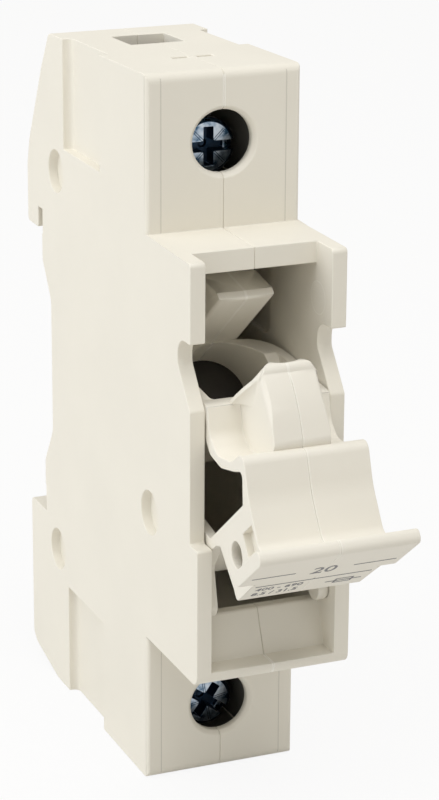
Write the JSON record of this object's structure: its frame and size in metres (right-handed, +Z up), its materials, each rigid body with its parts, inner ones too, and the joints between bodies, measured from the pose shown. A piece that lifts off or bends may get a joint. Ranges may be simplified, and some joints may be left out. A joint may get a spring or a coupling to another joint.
{
  "type": "fuse disconnector",
  "caption": "Modular fuse disconnector for a top-hat rail, with a hinged carrier for a cylindrical fuse-link, box terminals and a sliding rail latch.",
  "frame": {"origin": "on the front plane of the rail's flanges, at the middle of the rail's height and of the housing's width", "axes": "+Z up along the long side, +Y back into the rail, -Y out of the front, +X to the right seen from the front"},
  "size_m": [0.0174, 0.0686, 0.079],
  "materials": {
    "housing_plastic": "fine matt moulding texture",
    "carrier_plastic": "fine matt moulding texture",
    "latch_plastic": "matt",
    "contact_brass": "stamped, satin",
    "busbar_copper": "stamped, satin",
    "spring_steel": "satin",
    "screw_steel": "blue zinc plating",
    "clamp_steel": "zinc plated"
  },
  "bodies": {
    "housing": {"housing_left": "housing_plastic", "housing_right": "housing_plastic", "joining_pins": "housing_plastic", "upper_busbar": "busbar_copper", "upper_jaw": "contact_brass", "upper_jaw_spring": "spring_steel", "upper_jaw_rivet": "contact_brass", "lower_busbar": "busbar_copper", "lower_jaw": "contact_brass", "lower_jaw_rivet": "contact_brass", "latch_spring": "spring_steel"},
    "carrier": {"carrier_left": "carrier_plastic", "carrier_right": "carrier_plastic", "carrier_pins": "carrier_plastic", "carrier_contact": "contact_brass"},
    "upper_screw": {"upper_screw": "screw_steel"},
    "upper_clamp": {"upper_clamp": "clamp_steel"},
    "lower_screw": {"lower_screw": "screw_steel"},
    "lower_clamp": {"lower_clamp": "clamp_steel"},
    "latch": {"rail_latch": "latch_plastic"}
  },
  "joints": [
    {"name": "carrier_hinge", "type": "hinge", "parent": "housing", "child": "carrier", "pos_m": [0, -0.0445, -0.0145], "axis": [1, 0, 0], "range_deg": [-52, 0]},
    {"name": "upper_screw_turn", "type": "hinge", "parent": "housing", "child": "upper_screw", "pos_m": [0, -0.028, 0.03045], "axis": [0, 1, 0], "range_deg": [0, 2700]},
    {"name": "upper_clamp_slide", "type": "slide", "parent": "housing", "child": "upper_clamp", "axis": [0, -1, 0], "range_m": [0, 0.006]},
    {"name": "lower_screw_turn", "type": "hinge", "parent": "housing", "child": "lower_screw", "pos_m": [0, -0.028, -0.03315], "axis": [0, 1, 0], "range_deg": [0, 2700]},
    {"name": "lower_clamp_slide", "type": "slide", "parent": "housing", "child": "lower_clamp", "axis": [0, -1, 0], "range_m": [0, 0.006]},
    {"name": "latch_slide", "type": "slide", "parent": "housing", "child": "latch", "axis": [0, 0, -1], "range_m": [0, 0.003], "stiffness_N_per_m": 400, "springref_m": -0.002, "deforming": ["latch_spring"]}
  ],
  "couplings": [
    {"joint": "upper_screw_turn", "follows": "upper_clamp_slide", "rad_per_m": 7853.9},
    {"joint": "lower_screw_turn", "follows": "lower_clamp_slide", "rad_per_m": 7853.9}
  ]
}
